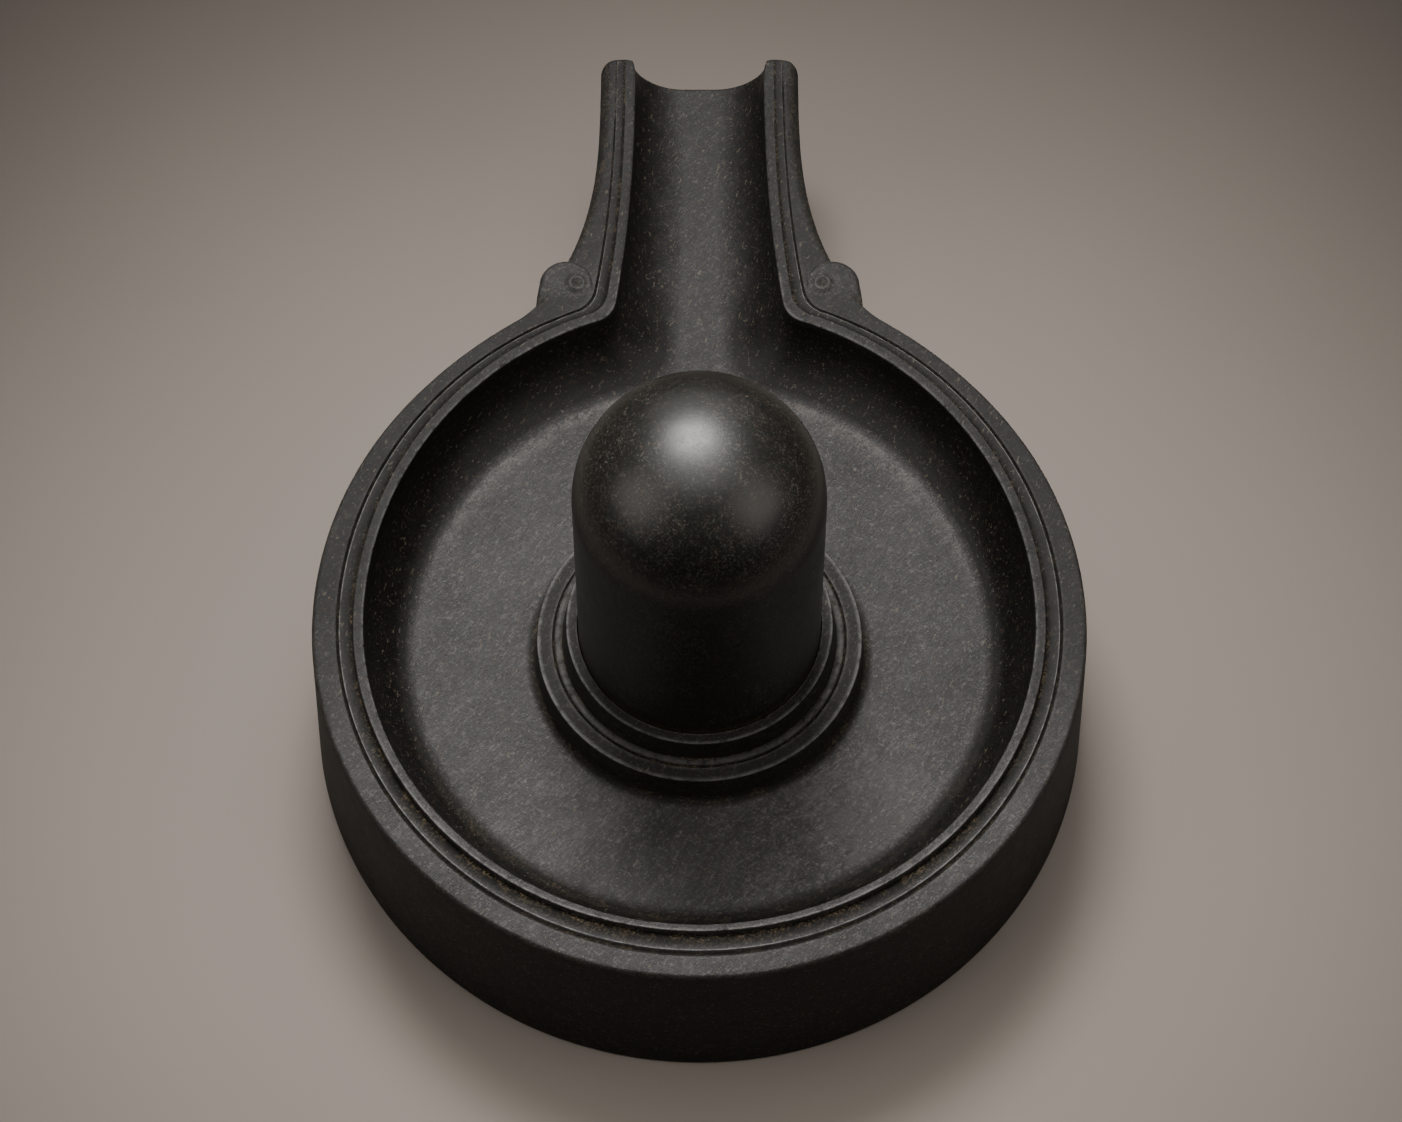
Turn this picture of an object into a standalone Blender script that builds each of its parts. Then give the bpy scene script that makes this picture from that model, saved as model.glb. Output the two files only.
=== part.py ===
# Shiva lingam: a polished stone shaft standing in a round stone yoni basin with a spout
import math
from collections import namedtuple

import bmesh
import bpy

# All sizes are metres, +Z up, the drum's axis at the origin and the spout along +Y.

# Drum: the round body of the base, swelling a little where its back meets the spout
DRUM_RADIUS = 0.160
BACK_BULGE = 0.0015
DRUM_HEIGHT = 0.085
SWELL = 0.017
FOOT_FLARE = 0.003
FOOT_CHAMFER = 0.0015
ARRIS_WIDTH = 0.0018
ARRIS_DROP = 0.0040

# Rim: its width from the drum's outer edge to the lip's inner edge
RIM_WIDTH_FRONT = 0.0227
RIM_WIDTH_SIDE = 0.0217
RIM_WIDTH_BACK = 0.0135

# Spout: an open channel between two rails, its underside rising to the tip
SPOUT_REACH = 0.116
SPOUT_ROOT_INSET = 0.013
CHANNEL_HALF = 0.028
CHANNEL_ROOT_HALF = 0.036
CHANNEL_FLAT_HALF = 0.007
CHANNEL_RISE = 0.0042
CHANNEL_FLARE_POWER = 2.5
RAIL_WIDTH = 0.0156
RAIL_ROOT_SPREAD = 0.0054
RAIL_FLARE_POWER = 3.4
RAIL_SHOULDER = 0.0052
RAIL_SHOULDER_DROP = 0.0070
SPOUT_FLOOR_THICKNESS = 0.025
HULL_FLAT_HALF = 0.014
TIP_CORNER_WIDTH = 0.0096
TIP_CORNER_BACK = 0.0042
TIP_LIP_WIDTH = 0.0035
TIP_LIP_BACK = 0.0016

# Rim mouldings, as steps outward from the lip's inner edge: in front, at the side, behind,
# at the spout's tip and at its root
LIP_WIDTH = (0.0027, 0.0045, 0.0050, 0.0045, 0.0047)
RISER_FOOT = (0.0034, 0.0050, 0.0055, 0.0048, 0.0051)
QUIRK_START = (0.0110, 0.0104, 0.0083, 0.0083, 0.0099)
QUIRK_WIDTH = (0.0014, 0.0010, 0.0009, 0.0006, 0.0008)
QUIRK_DEPTH = 0.0009
STRIP_FALL = 0.0011
LIP_RISE = 0.0026
LIP_CREST = 0.0012
LIP_SLOPE = 0.0004
RELIEF_FADE = 0.45

# Basin: a hollow wall that meets the floor at a crease
BASIN_DEPTH = 0.028
WALL_RUN = 0.0196
WALL_RUN_BACK = 0.0237
WALL_TURN = 70
CORNER_TRIM = 0.0080
FLOOR_CORNER_TRIM = 0.018

# Scrolls: a round knob with a small eye in each corner between drum and spout
SCROLL_RADIUS = 0.0117
SCROLL_INSET = 0.0153
SCROLL_OUT = 0.0005
SCROLL_TAIL = 0.018
SCROLL_TAIL_SPREAD = 0.0036
SCROLL_CROWN = 0.0009
SCROLL_FOOT_HEIGHT = 0.010
EYE_RADIUS = 0.0036
EYE_SHIFT = 0.0040
EYE_RISE = 0.0006

# Collar: two turned rings round the shaft's foot, a little in front of the drum's axis
COLLAR_SHIFT = -0.003
OUTER_RING_RISE = 0.0155
OUTER_RING_WIDTH = 0.0063
OUTER_RING_STRETCH = 0.03
INNER_RING_RISE = 0.0137
INNER_RING_WIDTH = 0.0048
BEAD_WIDTH = 0.0030
BEAD_RISE = 0.0006
INNER_BATTER = 0.0003
OUTER_BATTER = 0.0010
RING_ARRIS = 0.0006
COLLAR_LINE_WIDTH = 0.0008
COLLAR_LINE_DEPTH = 0.0008

# Lingam: the shaft with its domed top, standing in a shallow socket
SHAFT_RADIUS = 0.050
LINGAM_HEIGHT = 0.1563
SOCKET_DEPTH = 0.010
SEAT_GAP = 0.0003
SHAFT_CHAMFER = 0.0010
DOME_POWER = 2.12

# Number of steps along the curves
SPOUT_STEPS = 7
CORNER_STEPS = 3
BACK_STEPS = 11
FRONT_STEPS = 12
ARRIS_STEPS = 3
STRIP_STEPS = 2
WALL_STEPS = 7
HULL_STEPS = 4
CHANNEL_STEPS = 2
SHAFT_SIDES = 56
DOME_STEPS = 11
SCROLL_SIDES = 20

# Places worked out from the sizes above
DRUM_BACK = DRUM_RADIUS + BACK_BULGE
LIP_FRONT = DRUM_RADIUS - RIM_WIDTH_FRONT
LIP_SIDE = DRUM_RADIUS - RIM_WIDTH_SIDE
LIP_BACK = DRUM_BACK - RIM_WIDTH_BACK
TIP_Y = DRUM_RADIUS + SPOUT_REACH
ROOT_Y = DRUM_RADIUS - SPOUT_ROOT_INSET
FLOOR_Z = DRUM_HEIGHT - BASIN_DEPTH
CHANNEL_END_Z = FLOOR_Z + CHANNEL_RISE
LIP_Z = DRUM_HEIGHT + LIP_RISE
TIP_HALF = CHANNEL_HALF + RAIL_WIDTH
ROOT_HALF = math.sqrt(DRUM_BACK ** 2 - ROOT_Y ** 2) + RAIL_ROOT_SPREAD
OUTER_RING_Z = FLOOR_Z + OUTER_RING_RISE
INNER_RING_Z = OUTER_RING_Z + INNER_RING_RISE
SOCKET_RADIUS = SHAFT_RADIUS + SEAT_GAP
SOCKET_Z = INNER_RING_Z - SOCKET_DEPTH
SCROLL_X = ROOT_HALF - SCROLL_INSET
SCROLL_Y = DRUM_RADIUS + SCROLL_OUT

# A line that runs round the drum and out along both rails: its reach in front, at the side
# and behind, its half width at the spout's tip and root, how strongly it flares, how far its
# corner is trimmed, its swell behind, its height on the drum and at the tip, the share of the
# rail over which that height changes, and how far it stops short of the tip
Line = namedtuple("Line", "front side back tip root power trim swell z z_tip fade short")


def blend(a, b, t):
    return a + (b - a) * t


def ease(t):
    t = min(1.0, max(0.0, t))
    return t * t * (3 - 2 * t)


def tip_short(half):
    # The spout's end is rounded in plan: fully at its outer corners, lightly at the inner ones
    outer = min(1.0, max(0.0, (half - TIP_HALF + TIP_CORNER_WIDTH) / TIP_CORNER_WIDTH))
    inner = max(0.0, (CHANNEL_HALF + TIP_LIP_WIDTH - half) / TIP_LIP_WIDTH)
    return TIP_CORNER_BACK * (1 - math.sqrt(1 - outer ** 2)) + TIP_LIP_BACK * min(1.0, inner) ** 2


def moulding_line(steps, z, z_tip=DRUM_HEIGHT):
    # A line of the rim's mouldings, given by its steps outward from the lip's inner edge
    front, side, back, tip, root = steps
    tip += CHANNEL_HALF
    return Line(LIP_FRONT + front, LIP_SIDE + side, LIP_BACK + back, tip, CHANNEL_ROOT_HALF + root,
                CHANNEL_FLARE_POWER, CORNER_TRIM, 0, z, z_tip, RELIEF_FADE, tip_short(tip))


def edge_line(inset, rail_inset, z, z_tip):
    # A line near the outer edge, its inset given for the drum and for the rails
    tip = TIP_HALF - rail_inset
    return Line(DRUM_RADIUS - inset, DRUM_RADIUS - inset, DRUM_BACK - inset, tip, ROOT_HALF - inset,
                RAIL_FLARE_POWER, CORNER_TRIM, SWELL, z, z_tip, 1, tip_short(tip))


def outside_lines():
    # From the foot's edge up the outer wall to the rim's arris
    top = edge_line(0, 0, DRUM_HEIGHT - ARRIS_DROP, DRUM_HEIGHT - RAIL_SHOULDER_DROP)
    keel_z = CHANNEL_END_Z - SPOUT_FLOOR_THICKNESS
    foot = top._replace(front=DRUM_RADIUS + FOOT_FLARE, side=DRUM_RADIUS + FOOT_FLARE,
                        back=DRUM_BACK + FOOT_FLARE, tip=HULL_FLAT_HALF,
                        root=(CHANNEL_ROOT_HALF + ROOT_HALF) / 2, z=FOOT_CHAMFER, z_tip=keel_z)
    under = foot._replace(front=foot.front - FOOT_CHAMFER, side=foot.side - FOOT_CHAMFER,
                          back=foot.back - FOOT_CHAMFER, tip=foot.tip / 2,
                          root=foot.root - FOOT_CHAMFER, z=0.0, short=0)
    lines = [under]
    for step in range(HULL_STEPS + 1):
        turn = math.pi / 2 * step / HULL_STEPS
        out = math.sin(turn)
        up = step / HULL_STEPS
        tip = blend(foot.tip, top.tip, out)
        lines.append(top._replace(front=blend(foot.front, top.front, up),
                                  side=blend(foot.side, top.side, up),
                                  back=blend(foot.back, top.back, up),
                                  tip=tip, root=blend(foot.root, top.root, out),
                                  z=blend(foot.z, top.z, up), short=tip_short(tip),
                                  z_tip=blend(top.z_tip, foot.z_tip, math.cos(turn))))
    return lines


def add_steps(first, second, share=1.0):
    return tuple(a + b * share for a, b in zip(first, second))


def blend_steps(first, last, share):
    return tuple(blend(a, b, share) for a, b in zip(first, last))


def rim_lines():
    # From the arris across the outer band, the quirk, the sinking strip and the lip
    top = DRUM_HEIGHT
    lines = []
    for step in range(1, ARRIS_STEPS + 1):
        turn = math.pi / 2 * step / ARRIS_STEPS
        across = 1 - math.cos(turn)
        down = 1 - math.sin(turn)
        lines.append(edge_line(ARRIS_WIDTH * across, RAIL_SHOULDER * across,
                               top - ARRIS_DROP * down, top - RAIL_SHOULDER_DROP * down))
    lines.append(moulding_line(add_steps(QUIRK_START, QUIRK_WIDTH), top))
    lines.append(moulding_line(add_steps(QUIRK_START, QUIRK_WIDTH, 0.5), top - QUIRK_DEPTH))
    lines.append(moulding_line(QUIRK_START, top))
    for step in range(1, STRIP_STEPS + 1):
        share = step / STRIP_STEPS
        lines.append(moulding_line(blend_steps(QUIRK_START, RISER_FOOT, share),
                                   top - STRIP_FALL * share ** 2))
    none = (0, 0, 0, 0, 0)
    crest = (LIP_CREST,) * 5
    lines.append(moulding_line(LIP_WIDTH, LIP_Z - LIP_SLOPE))
    lines.append(moulding_line(crest, LIP_Z))
    lines.append(moulding_line(none, LIP_Z - LIP_CREST, top - LIP_CREST))
    return lines


def basin_lines():
    # From under the lip down the wall: a hollow curve that stops at the floor's crease round
    # the basin and runs out level along the channel
    lip = rim_lines()[-1]
    foot = Line(LIP_FRONT - WALL_RUN, LIP_SIDE - WALL_RUN, LIP_BACK - WALL_RUN_BACK,
                CHANNEL_FLAT_HALF, CHANNEL_FLAT_HALF * CHANNEL_ROOT_HALF / CHANNEL_HALF,
                CHANNEL_FLARE_POWER, FLOOR_CORNER_TRIM, 0, FLOOR_Z, CHANNEL_END_Z, 1, 0)
    last = math.radians(WALL_TURN)
    lines = []
    for step in range(1, WALL_STEPS + 1):
        share = step / WALL_STEPS
        across = (1 - math.cos(last * share)) / (1 - math.cos(last))
        down = math.sin(last * share) / math.sin(last)
        rail_across = 1 - math.cos(math.pi / 2 * share)
        rail_down = math.sin(math.pi / 2 * share)
        lines.append(foot._replace(front=blend(lip.front, foot.front, across),
                                   side=blend(lip.side, foot.side, across),
                                   back=blend(lip.back, foot.back, across),
                                   tip=blend(lip.tip, foot.tip, rail_across),
                                   root=blend(lip.root, foot.root, rail_across),
                                   trim=blend(lip.trim, foot.trim, across),
                                   z=blend(lip.z, foot.z, down),
                                   z_tip=blend(lip.z_tip, foot.z_tip, rail_down),
                                   fade=blend(lip.fade, 1, share),
                                   short=lip.short * (1 - rail_down) ** 2))
    return lines


def collar_profile():
    # Radius, height and sideways stretch from the floor inward over both rings to the socket
    ring_edge = SOCKET_RADIUS + INNER_RING_WIDTH
    bead_in = ring_edge + INNER_BATTER
    bead_out = bead_in + BEAD_WIDTH
    line_out = bead_out + COLLAR_LINE_WIDTH
    outer_edge = line_out + OUTER_RING_WIDTH
    wide = 1 + OUTER_RING_STRETCH
    return [(outer_edge + OUTER_BATTER, FLOOR_Z, wide),
            (outer_edge, OUTER_RING_Z - RING_ARRIS, wide),
            (outer_edge - RING_ARRIS, OUTER_RING_Z, wide),
            (line_out, OUTER_RING_Z, wide),
            (line_out - COLLAR_LINE_WIDTH / 2, OUTER_RING_Z - COLLAR_LINE_DEPTH, wide),
            (bead_out, OUTER_RING_Z, wide),
            (bead_out - BEAD_WIDTH / 3, OUTER_RING_Z + BEAD_RISE, wide),
            (bead_in, OUTER_RING_Z + BEAD_RISE / 2, wide),
            (ring_edge, INNER_RING_Z - RING_ARRIS, 1),
            (ring_edge - RING_ARRIS, INNER_RING_Z, 1),
            (SOCKET_RADIUS, INNER_RING_Z, 1),
            (SOCKET_RADIUS, SOCKET_Z, 1)]


def rail_half(line, y):
    # Half width of the line across the spout at a given y
    share = max(0.0, (TIP_Y - y) / (TIP_Y - ROOT_Y))
    return line.tip + (line.root - line.tip) * share ** line.power


def drum_place(line, angle):
    # A point of the line round the drum; the angle is measured from the spout's side
    if angle > math.pi / 2:
        return (line.side * math.sin(angle), line.front * math.cos(angle))
    near = min(1.0, max(0.0, (math.cos(angle) - 0.57) / 0.336))
    grow = 1 + line.swell * near ** 3
    return (line.side * math.sin(angle) * grow, line.back * math.cos(angle) * grow)


def is_past_rail(line, angle):
    x, y = drum_place(line, angle)
    return x > rail_half(line, y)


def corner_angle(line):
    # Where the line leaves the drum's back and turns out along the rail: the first place from
    # the spout's side, found by steps and then by halving
    step = math.radians(1)
    high = step
    while not is_past_rail(line, high):
        high += step
    low = high - step
    for _ in range(40):
        angle = (low + high) / 2
        if is_past_rail(line, angle):
            high = angle
        else:
            low = angle
    return high


def half_path(line):
    # Points of the right half: tip, rail, rounded corner, drum's back, drum's front
    angle = corner_angle(line)
    corner = drum_place(line, angle)
    rail_end = corner[1] + line.trim
    start = (rail_half(line, rail_end), rail_end)
    angle += line.trim / math.hypot(*corner)
    end = drum_place(line, angle)
    points = []
    for step in range(SPOUT_STEPS + 1):
        share = 1 - step / SPOUT_STEPS
        y = blend(rail_end, TIP_Y - line.short, share)
        points.append((rail_half(line, y), y, blend(line.z, line.z_tip, ease(share / line.fade))))
    for step in range(1, CORNER_STEPS + 1):
        t = step / CORNER_STEPS
        x = (1 - t) ** 2 * start[0] + 2 * t * (1 - t) * corner[0] + t * t * end[0]
        y = (1 - t) ** 2 * start[1] + 2 * t * (1 - t) * corner[1] + t * t * end[1]
        points.append((x, y, line.z))
    for step in range(1, BACK_STEPS + 1):
        points.append((*drum_place(line, blend(angle, math.pi / 2, step / BACK_STEPS)), line.z))
    for step in range(1, FRONT_STEPS + 1):
        points.append((*drum_place(line, math.pi / 2 * (1 + step / FRONT_STEPS)), line.z))
    return points


def full_path(line):
    # The right half from tip to front, then its mirror image back to the tip
    right = half_path(line)
    right[-1] = (0.0, right[-1][1], right[-1][2])
    return right + [(-x, y, z) for x, y, z in reversed(right[:-1])]


def add_strip(bm, first, second):
    for a, b, c, d in zip(first, first[1:], second[1:], second):
        bm.faces.new((a, b, c, d))


def add_closed_strip(bm, first, second):
    add_strip(bm, first + first[:1], second + second[:1])


def add_cross_rows(bm, loop):
    # Rows across the spout between the two rails; returns the row at the drum's side last
    rows = []
    for index in range(SPOUT_STEPS + 1):
        right, left = loop[index], loop[-1 - index]
        row = [right]
        for step in range(1, CHANNEL_STEPS):
            row.append(bm.verts.new(right.co.lerp(left.co, step / CHANNEL_STEPS)))
        rows.append(row + [left])
    for first, second in zip(rows, rows[1:]):
        add_strip(bm, first, second)
    return rows


def drum_loop(loop, rows):
    # The closed loop round the drum alone, shut across the mouth of the spout
    return loop[SPOUT_STEPS:len(loop) - SPOUT_STEPS] + rows[-1][-2:0:-1]


def add_turned_rings(bm, start, profile):
    # Rings inside a closed loop, each vertex kept on its own ray from the collar's axis
    previous = start
    for radius, z, wide in profile:
        ring = []
        for vert in start:
            x, y = vert.co.x, vert.co.y - COLLAR_SHIFT
            scale = radius / math.hypot(x, y)
            ring.append(bm.verts.new((x * scale * wide, y * scale + COLLAR_SHIFT, z)))
        add_closed_strip(bm, previous, ring)
        previous = ring
    return previous


def add_spout_end(bm, loops, floor_row, keel_row):
    # The end in three faces: the middle, and a rounded corner on each side
    split_low = next(i for i, loop in enumerate(loops) if loop[0].co.x > TIP_HALF - TIP_CORNER_WIDTH)
    split_high = next(i for i, loop in enumerate(loops)
                      if i > split_low and loop[0].co.x < TIP_HALF - TIP_CORNER_WIDTH) - 1
    faces = []
    for side in (0, -1):
        edge = [loop[side] for loop in loops]
        faces.append(bm.faces.new(edge[split_low:split_high + 1]))
    right = [loop[0] for loop in loops]
    left = [loop[-1] for loop in reversed(loops)]
    low, high = split_low + 1, split_high
    middle = right[:low] + right[high:] + floor_row[1:-1]
    middle += left[:len(left) - high] + left[len(left) - low:] + keel_row[-2:0:-1]
    faces.append(bm.faces.new(middle))
    bmesh.ops.triangulate(bm, faces=faces)


def finish_mesh(bm, name):
    bmesh.ops.recalc_face_normals(bm, faces=bm.faces)
    mesh = bpy.data.meshes.new(name)
    bm.to_mesh(mesh)
    bm.free()
    mesh.shade_smooth()
    mesh.set_sharp_from_angle(angle=math.radians(32))
    obj = bpy.data.objects.new(name, mesh)
    bpy.context.collection.objects.link(obj)
    return obj


def make_base():
    bm = bmesh.new()
    loops = []
    for line in outside_lines() + rim_lines() + basin_lines():
        loops.append([bm.verts.new(point) for point in full_path(line)])
    for first, second in zip(loops, loops[1:]):
        add_strip(bm, first, second)
    # the flat underside, and the spout's rising keel
    keel_rows = add_cross_rows(bm, loops[0])
    bm.faces.new(drum_loop(loops[0], keel_rows))
    # the channel's floor, the basin's floor, the collar and the socket
    floor_rows = add_cross_rows(bm, loops[-1])
    basin_edge = drum_loop(loops[-1], floor_rows)
    bm.faces.new(add_turned_rings(bm, basin_edge, collar_profile()))
    add_spout_end(bm, loops, floor_rows[0], keel_rows[0])
    return finish_mesh(bm, "yoni_base")


def make_turned(name, profile, sides):
    # A solid of revolution about Z; the profile starts and ends on the axis
    bm = bmesh.new()
    bottom = bm.verts.new((0, 0, profile[0][1]))
    top = bm.verts.new((0, 0, profile[-1][1]))
    rings = []
    for radius, z in profile[1:-1]:
        ring = []
        for side in range(sides):
            angle = 2 * math.pi * side / sides
            ring.append(bm.verts.new((radius * math.cos(angle), radius * math.sin(angle), z)))
        rings.append(ring)
    for first, second in zip(rings, rings[1:]):
        add_closed_strip(bm, first, second)
    for pole, ring in ((bottom, rings[0]), (top, rings[-1])):
        for a, b in zip(ring, ring[1:] + ring[:1]):
            bm.faces.new((pole, a, b))
    return finish_mesh(bm, name)


def make_lingam():
    foot = SOCKET_Z + SEAT_GAP
    apex = INNER_RING_Z + LINGAM_HEIGHT
    shoulder = apex - SHAFT_RADIUS
    profile = [(0, foot), (SHAFT_RADIUS - SHAFT_CHAMFER, foot),
               (SHAFT_RADIUS, foot + SHAFT_CHAMFER),
               (SHAFT_RADIUS, blend(foot, shoulder, 0.5))]
    for step in range(DOME_STEPS):
        turn = math.pi / 2 * step / DOME_STEPS
        profile.append((SHAFT_RADIUS * math.cos(turn) ** (2 / DOME_POWER),
                        shoulder + SHAFT_RADIUS * math.sin(turn) ** (2 / DOME_POWER)))
    profile.append((0, apex))
    lingam = make_turned("lingam_shaft", profile, SHAFT_SIDES)
    for vertex in lingam.data.vertices:
        vertex.co.y += COLLAR_SHIFT
    return lingam


def scroll_profile():
    # A post with a rounded foot and a softly crowned top
    r = SCROLL_RADIUS
    top = DRUM_HEIGHT + SCROLL_CROWN
    foot = SCROLL_FOOT_HEIGHT
    profile = [(0, foot)]
    for turn in (30, 60, 90):
        angle = math.radians(turn)
        profile.append((r * math.sin(angle), foot + r * (1 - math.cos(angle))))
    profile += [(r, top - r * 0.22), (r * 0.95, top - r * 0.11), (r * 0.82, top - r * 0.03),
                (r * 0.5, top), (0, top + SCROLL_CROWN / 4)]
    return profile


def lead_into_drum(post):
    # The post's drum side runs on into the drum, growing wider and sinking under the band
    for vertex in post.data.vertices:
        x, y = vertex.co.x, vertex.co.y
        radius = math.hypot(x, y)
        if y >= 0 or radius == 0:
            continue
        back, side = -y / radius, abs(x) / radius
        size = radius / SCROLL_RADIUS
        half = (SCROLL_RADIUS + SCROLL_TAIL_SPREAD * back) * side ** 0.25
        vertex.co.x = math.copysign(half * size, x)
        vertex.co.y = -SCROLL_TAIL * back * size
        if vertex.co.z > DRUM_HEIGHT / 2:
            vertex.co.z -= SCROLL_CROWN * 1.6 * ease(-vertex.co.y / (SCROLL_TAIL / 2))


def eye_profile():
    top = DRUM_HEIGHT + SCROLL_CROWN + EYE_RISE
    r = EYE_RADIUS
    return [(0, top - r), (r, top - r), (r, top - EYE_RISE), (r * 0.7, top - EYE_RISE / 4), (0, top)]


def join_scrolls(base):
    for side, label in ((1, "right"), (-1, "left")):
        post = make_turned(f"scroll_{label}", scroll_profile(), SCROLL_SIDES)
        lead_into_drum(post)
        eye = make_turned(f"eye_{label}", eye_profile(), SCROLL_SIDES // 2)
        for tool, shift in ((post, 0), (eye, EYE_SHIFT)):
            tool.location = (side * (SCROLL_X - shift), SCROLL_Y, 0)
            tool.hide_render = True
            tool.display_type = "WIRE"
            union = base.modifiers.new(tool.name, "BOOLEAN")
            union.operation = "UNION"
            union.object = tool


def stone(name, colour, roughness):
    material = bpy.data.materials.new(name)
    material.use_nodes = True
    shader = material.node_tree.nodes["Principled BSDF"]
    shader.inputs["Base Color"].default_value = (*colour, 1)
    shader.inputs["Roughness"].default_value = roughness
    shader.inputs["Metallic"].default_value = 0.0
    material.diffuse_color = (*colour, 1)
    return material


def main():
    for obj in list(bpy.data.objects):
        bpy.data.objects.remove(obj)
    base = make_base()
    base.data.materials.append(stone("honed_black_stone", (0.045, 0.044, 0.041), 0.5))
    join_scrolls(base)
    lingam = make_lingam()
    lingam.data.materials.append(stone("polished_black_stone", (0.022, 0.021, 0.019), 0.28))


main()
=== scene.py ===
from math import atan2, copysign, cos, exp, hypot, pi, radians, sin, sqrt

import bmesh
import bpy
import numpy as np
from mathutils import Matrix, Vector, geometry, kdtree, noise


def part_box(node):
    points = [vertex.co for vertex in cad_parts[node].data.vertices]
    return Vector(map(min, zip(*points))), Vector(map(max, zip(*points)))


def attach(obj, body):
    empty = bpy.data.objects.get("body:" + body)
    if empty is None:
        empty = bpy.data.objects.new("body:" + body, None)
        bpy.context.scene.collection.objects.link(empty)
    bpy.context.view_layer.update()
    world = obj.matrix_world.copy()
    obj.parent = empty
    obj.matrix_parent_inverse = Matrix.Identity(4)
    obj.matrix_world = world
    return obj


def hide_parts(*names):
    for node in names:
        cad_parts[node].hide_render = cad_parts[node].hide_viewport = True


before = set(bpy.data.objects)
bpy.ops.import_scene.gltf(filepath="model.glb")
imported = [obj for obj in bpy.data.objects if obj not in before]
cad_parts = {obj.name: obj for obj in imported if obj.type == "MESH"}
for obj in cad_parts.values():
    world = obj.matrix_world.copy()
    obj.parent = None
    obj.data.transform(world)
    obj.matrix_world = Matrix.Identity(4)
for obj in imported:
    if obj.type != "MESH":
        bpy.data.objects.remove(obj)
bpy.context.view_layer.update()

# Shiva lingam: a polished black shaft standing in a honed black yoni basin.
# Metres, +Z up, the drum's axis at the origin, the spout along +Y.


def mix(a, b, t):
    return a + (b - a) * t


def clamp(t):
    return min(1.0, max(0.0, t))


def ease(t):
    t = clamp(t)
    return t * t * (3 - 2 * t)


def quarter(step, steps):
    return pi / 2 * step / steps


def mixTuple(first, second, share):
    return tuple(mix(a, b, share) for a, b in zip(first, second))


def addTuple(first, second, share=1.0):
    return tuple(a + b * share for a, b in zip(first, second))


def newObject(name, data):
    made = bpy.data.objects.new(name, data)
    bpy.context.collection.objects.link(made)
    return made


class Carving:
    # a mesh under construction; every point carries five marks, which say how worn it is (with painted
    # highlight), how grimy (with painted shade), silted and nicked, and how much grey bloom and painted
    # sheen it has (below 0: bare and rubbed smooth)
    def __init__(self):
        self.points, self.marks, self.faces = [], [], []

    def addPoint(self, place, worn=0.0, grime=0.0, silt=0.0, nick=0.0, bloom=0.0):
        self.points.append(tuple(place))
        self.marks.append((worn, grime, silt, nick, bloom))
        return len(self.points) - 1

    def strip(self, first, second):
        for a, b, c, d in zip(first, first[1:], second[1:], second):
            self.faces.append((a, b, c, d))

    def closedStrip(self, first, second):
        self.strip(first + first[:1], second + second[:1])

    def toObject(self, name):
        mesh = bpy.data.meshes.new(name)
        mesh.from_pydata(self.points, [], self.faces)
        build = bmesh.new()
        build.from_mesh(mesh)
        bmesh.ops.recalc_face_normals(build, faces=build.faces)
        build.to_mesh(mesh)
        build.free()
        return newObject(name, mesh)


def turnedCarving(rows, sides):
    # rows of (radius, height, wear with painted highlight, grime with painted shade); the first and last
    # are on the axis
    carving = Carving()
    first = carving.addPoint((0, 0, rows[0][1]), *rows[0][2:])
    last = carving.addPoint((0, 0, rows[-1][1]), *rows[-1][2:])
    rings = []
    for radius, z, worn, grime in rows[1:-1]:
        ring = []
        for side in range(sides):
            angle = 2 * pi * side / sides
            place = (radius * cos(angle), radius * sin(angle), z)
            ring.append(carving.addPoint(place, worn, grime))
        rings.append(ring)
    for inner, outer in zip(rings, rings[1:]):
        carving.closedStrip(inner, outer)
    for pole, ring in ((first, rings[0]), (last, rings[-1])):
        for a, b in zip(ring, ring[1:] + ring[:1]):
            carving.faces.append((pole, a, b))
    return carving


def roundOver(edge, top, size, worn):
    # rows over a ring's rounded outer arris, for the turned profiles
    for step in range(6):
        turn = quarter(step, 5)
        across, down = size * (1 - cos(turn)), size * (1 - sin(turn))
        yield edge - across, top - down, worn * sin(turn), 0


def roughen(piece, marks, sway, ripple, chip):
    # hand work: every point moves a little way into the stone, most along nicked arrises
    slowSize, quickSize, chipSize, crumbSize = 0.045, 0.009, 0.0042, 0.0017
    normals = [v.normal.copy() for v in piece.data.vertices]
    for vertex, normal, mark in zip(piece.data.vertices, normals, marks):
        if vertex.co.z < 0.0004:  # the underside stays flat
            continue
        p = vertex.co
        slow = 0.5 + 0.5 * noise.noise(p / slowSize)
        quick = 0.5 + 0.5 * noise.noise(p / quickSize + Vector((7, 3, 1)))
        bite = max(0.0, noise.noise(p / chipSize) + 0.45 * noise.noise(p / crumbSize)) ** 1.5
        vertex.co = p - normal * (sway * slow + ripple * quick + chip * mark[3] * bite)


def paintMarks(piece, sources):
    # every point takes the marks of the nearest point of the carvings
    tree = kdtree.KDTree(sum(len(places) for places, marks in sources))
    flat = []
    for places, marks in sources:
        for place, mark in zip(places, marks):
            tree.insert(place, len(flat))
            flat.append(mark)
    tree.balance()
    values = np.array([flat[tree.find(v.co)[1]] for v in piece.data.vertices], dtype=np.float32)
    for column, name in ((0, "worn"), (1, "grime"), (2, "silt"), (4, "bloom")):
        layer = piece.data.attributes.new(name, "FLOAT", "POINT")
        layer.data.foreach_set("value", np.ascontiguousarray(values[:, column]))


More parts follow.
